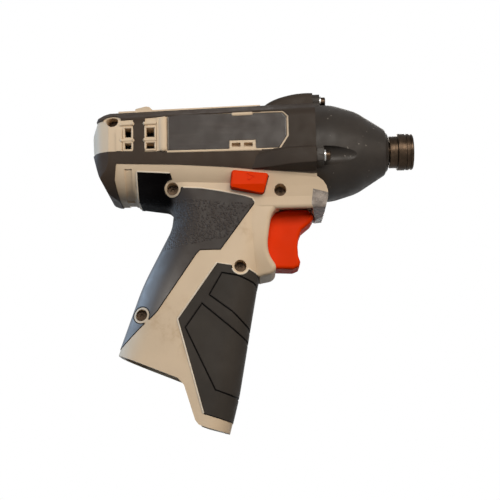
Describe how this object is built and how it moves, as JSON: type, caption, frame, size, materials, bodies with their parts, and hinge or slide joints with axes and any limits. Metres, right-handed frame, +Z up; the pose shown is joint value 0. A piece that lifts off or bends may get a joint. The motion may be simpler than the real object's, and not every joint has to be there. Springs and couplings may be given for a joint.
{
  "type": "compact cordless impact driver",
  "caption": "Pistol-grip cordless impact driver without battery: clamshell body, soft grips, nose case, hex quick-release sleeve, trigger, direction selector and working impact drive.",
  "frame": {"origin": "centre of the mouth of the hex bit socket, on the output axis", "axes": "+X out of the nose along the output axis, +Z up away from the handle, the tool's right side towards -Y"},
  "size_m": [0.1731, 0.065, 0.1844],
  "materials": {
    "casing_plastic": "satin",
    "soft_grip": "matte",
    "dark_plastic": "satin",
    "nose_paint": "satin black coat",
    "plate": "satin",
    "control_plastic": "satin",
    "lens_plastic": "translucent",
    "lamp_white": "clear",
    "board": "matte",
    "black_steel": "black oxide",
    "bright_steel": "bright",
    "gear_steel": "satin",
    "magnet": "matte",
    "copper": "bare",
    "bronze": "oiled",
    "carbon": "matte",
    "fan_plastic": "matte",
    "lead_jacket": "matte"
  },
  "bodies": {
    "casing": {"right_housing": "casing_plastic", "left_housing": "casing_plastic", "right_band": "soft_grip", "left_band": "soft_grip", "right_palm_grip": "soft_grip", "left_palm_grip": "soft_grip", "right_finger_grip": "soft_grip", "left_finger_grip": "soft_grip", "right_rating_plate": "plate", "left_rating_plate": "plate", "nose_case": "nose_paint", "front_collar": "dark_plastic", "nose_washers": "bright_steel", "nose_screws": "black_steel", "housing_screws": "black_steel", "lamp_lens": "lens_plastic", "lamp_board": "board", "lamp": "lamp_white", "switch_body": "dark_plastic", "trigger_spring": "bright_steel", "terminal_block": "dark_plastic", "terminal_blades": "copper", "battery_leads": "lead_jacket", "motor_can": "bright_steel", "motor_magnets": "magnet", "motor_end_cap": "dark_plastic", "motor_brushes": "carbon", "motor_bushings": "bronze", "ring_gear": "gear_steel", "spindle_bearing": "bright_steel", "motor_plate": "bright_steel", "anvil_bush": "bronze"},
    "trigger": {"trigger": "control_plastic"},
    "selector": {"direction_selector": "control_plastic"},
    "lever": {"reverse_lever": "dark_plastic"},
    "rotor": {"rotor_shaft": "bright_steel", "rotor_core": "magnet", "rotor_windings": "copper", "commutator": "copper", "cooling_fan": "fan_plastic", "pinion": "gear_steel"},
    "spindle": {"spindle": "gear_steel", "planet_pins": "bright_steel", "spring_washer": "bright_steel", "hammer_spring": "bright_steel", "cam_balls": "bright_steel"},
    "planet_1": {"planet_gear_1": "gear_steel"},
    "planet_2": {"planet_gear_2": "gear_steel"},
    "planet_3": {"planet_gear_3": "gear_steel"},
    "hammer": {"hammer": "gear_steel"},
    "anvil": {"anvil": "black_steel", "collet_spring": "black_steel", "collet_washer": "bright_steel", "collet_snap_ring": "black_steel"},
    "sleeve": {"collet_sleeve": "black_steel"},
    "ball_right": {"detent_ball_right": "bright_steel"},
    "ball_left": {"detent_ball_left": "bright_steel"}
  },
  "joints": [
    {"name": "spindle_spin", "type": "hinge", "parent": "casing", "child": "spindle", "pos_m": [-0.079, 0, 0], "axis": [1, 0, 0], "continuous": true},
    {"name": "rotor_spin", "type": "hinge", "parent": "casing", "child": "rotor", "pos_m": [-0.11, 0, 0], "axis": [1, 0, 0], "continuous": true},
    {"name": "anvil_spin", "type": "hinge", "parent": "casing", "child": "anvil", "pos_m": [-0.02, 0, 0], "axis": [1, 0, 0], "continuous": true},
    {"name": "hammer_slide", "type": "slide", "parent": "spindle", "child": "hammer", "axis": [-1, 0, 0], "range_m": [0, 0.006], "stiffness_N_per_m": 4000, "springref_m": -0.003, "deforming": ["hammer_spring"]},
    {"name": "collet_slide", "type": "slide", "parent": "anvil", "child": "sleeve", "axis": [1, 0, 0], "range_m": [0, 0.0035], "stiffness_N_per_m": 1500, "springref_m": -0.002, "deforming": ["collet_spring"]},
    {"name": "detent_right_slide", "type": "slide", "parent": "anvil", "child": "ball_right", "axis": [0, -1, 0], "range_m": [0, 0.0006]},
    {"name": "detent_left_slide", "type": "slide", "parent": "anvil", "child": "ball_left", "axis": [0, 1, 0], "range_m": [0, 0.0006]},
    {"name": "trigger_pull", "type": "slide", "parent": "casing", "child": "trigger", "axis": [-1, 0, 0], "range_m": [0, 0.006], "stiffness_N_per_m": 900, "springref_m": -0.004, "deforming": ["trigger_spring"]},
    {"name": "selector_slide", "type": "slide", "parent": "casing", "child": "selector", "axis": [0, 1, 0], "range_m": [-0.0022, 0.0022]},
    {"name": "lever_swing", "type": "hinge", "parent": "casing", "child": "lever", "pos_m": [-0.1, 0, -0.034], "axis": [0, 0, 1], "range_deg": [-10.4, 10.4]},
    {"name": "planet_1_spin", "type": "hinge", "parent": "spindle", "child": "planet_1", "pos_m": [-0.07, 0, 0.0105], "axis": [1, 0, 0], "continuous": true},
    {"name": "planet_2_spin", "type": "hinge", "parent": "spindle", "child": "planet_2", "pos_m": [-0.07, -0.00909, -0.00525], "axis": [1, 0, 0], "continuous": true},
    {"name": "planet_3_spin", "type": "hinge", "parent": "spindle", "child": "planet_3", "pos_m": [-0.07, 0.00909, -0.00525], "axis": [1, 0, 0], "continuous": true}
  ],
  "couplings": [
    {"joint": "rotor_spin", "follows": "spindle_spin", "ratio": 6.6667},
    {"joint": "anvil_spin", "follows": "spindle_spin", "ratio": 1},
    {"joint": "detent_right_slide", "follows": "collet_slide", "ratio": 0.17143},
    {"joint": "detent_left_slide", "follows": "collet_slide", "ratio": 0.17143},
    {"joint": "lever_swing", "follows": "selector_slide", "rad_per_m": 82.427},
    {"joint": "planet_1_spin", "follows": "spindle_spin", "ratio": -2.4286},
    {"joint": "planet_2_spin", "follows": "spindle_spin", "ratio": -2.4286},
    {"joint": "planet_3_spin", "follows": "spindle_spin", "ratio": -2.4286}
  ]
}
